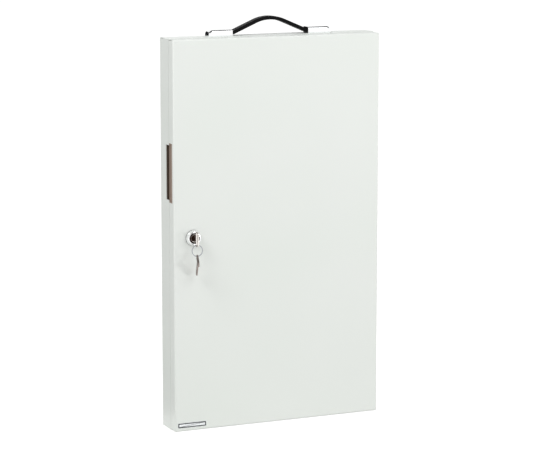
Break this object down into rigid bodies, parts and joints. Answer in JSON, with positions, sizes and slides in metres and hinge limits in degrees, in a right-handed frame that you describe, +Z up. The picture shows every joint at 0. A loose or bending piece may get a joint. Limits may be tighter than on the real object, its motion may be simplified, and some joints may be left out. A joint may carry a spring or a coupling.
{
  "type": "key cabinet",
  "caption": "Slim sheet-steel key cabinet with a hinged door, cam lock, rows of hooks inside, a finger pull in its side and a strap handle on top.",
  "frame": {"origin": "bottom centre of the closed case, at the middle of its width and depth", "axes": "+X right seen from the front, +Y to the back, +Z up"},
  "size_m": [0.3073, 0.0769, 0.555],
  "materials": {
    "case_paint": "off-white powder coat, fine orange peel, semi-gloss",
    "galvanised_sheet": "zinc plated",
    "rivet_steel": "bright rivet",
    "strip_card": "printed plastic strip",
    "buffer_rubber": "matt",
    "pin_steel": "turned",
    "chrome": "polished chrome plate",
    "black_plastic": "moulded",
    "strap_vinyl": "grained black vinyl",
    "spring_steel": "blued",
    "brown_plastic": "moulded, semi-gloss brown",
    "dark_plastic": "moulded, dark brown",
    "card_stock": "plain card",
    "label_metal": "bare brushed plate",
    "key_nickel": "nickel plated"
  },
  "bodies": {
    "case": {"body_shell": "case_paint", "front_frame": "case_paint", "strike_lip": "case_paint", "finger_pocket": "dark_plastic", "hook_rail_01": "case_paint", "hook_rail_02": "case_paint", "hook_rail_03": "case_paint", "hook_rail_04": "case_paint", "hook_rail_05": "case_paint", "hook_rail_06": "case_paint", "hook_rail_07": "case_paint", "hook_rail_08": "case_paint", "hook_rail_09": "case_paint", "hook_rail_10": "case_paint", "number_strips": "strip_card", "rail_rivets": "rivet_steel", "door_buffers": "buffer_rubber", "hinge_leaf_case_lower": "case_paint", "hinge_leaf_case_upper": "case_paint", "hinge_pin_lower": "pin_steel", "hinge_pin_upper": "pin_steel", "handle_cap_left": "chrome", "handle_cap_right": "chrome", "handle_base_left": "black_plastic", "handle_base_right": "black_plastic", "handle_backing_plate": "galvanised_sheet", "handle_screws": "pin_steel"},
    "door": {"door_shell": "case_paint", "door_pull": "brown_plastic", "door_stiffener": "case_paint", "card_rail_lower": "strip_card", "card_rail_upper": "strip_card", "index_card": "card_stock", "blank_label": "label_metal", "hinge_leaf_door_lower": "case_paint", "hinge_leaf_door_upper": "case_paint", "lock_body": "chrome", "lock_nut": "galvanised_sheet"},
    "plug": {"lock_plug": "chrome", "lock_cam": "galvanised_sheet", "cam_screw": "pin_steel"},
    "key": {"key": "key_nickel"},
    "ring": {"key_ring": "key_nickel"},
    "spare": {"spare_key": "key_nickel"},
    "strap": {"handle_strap": "strap_vinyl", "strap_core": "spring_steel"}
  },
  "joints": [
    {"name": "door_hinge", "type": "hinge", "parent": "case", "child": "door", "pos_m": [0.1538, -0.0076, 0.265], "axis": [0, 0, 1], "range_deg": [0, 170]},
    {"name": "lock_turn", "type": "hinge", "parent": "door", "child": "plug", "pos_m": [-0.1235, -0.024, 0.265], "axis": [0, -1, 0], "range_deg": [0, 90]},
    {"name": "key_slide", "type": "slide", "parent": "plug", "child": "key", "axis": [0, -1, 0], "range_m": [0, 0.024]},
    {"name": "ring_swing", "type": "hinge", "parent": "key", "child": "ring", "pos_m": [-0.1235, -0.039, 0.2572], "axis": [-1, 0, 0], "range_deg": [-3, 60]},
    {"name": "spare_key_swing", "type": "hinge", "parent": "ring", "child": "spare", "pos_m": [-0.1235, -0.039, 0.2424], "axis": [-1, 0, 0], "range_deg": [-2, 30]},
    {"name": "strap_slide", "type": "slide", "parent": "case", "child": "strap", "axis": [1, 0, 0], "range_m": [-0.003, 0.003]}
  ]
}
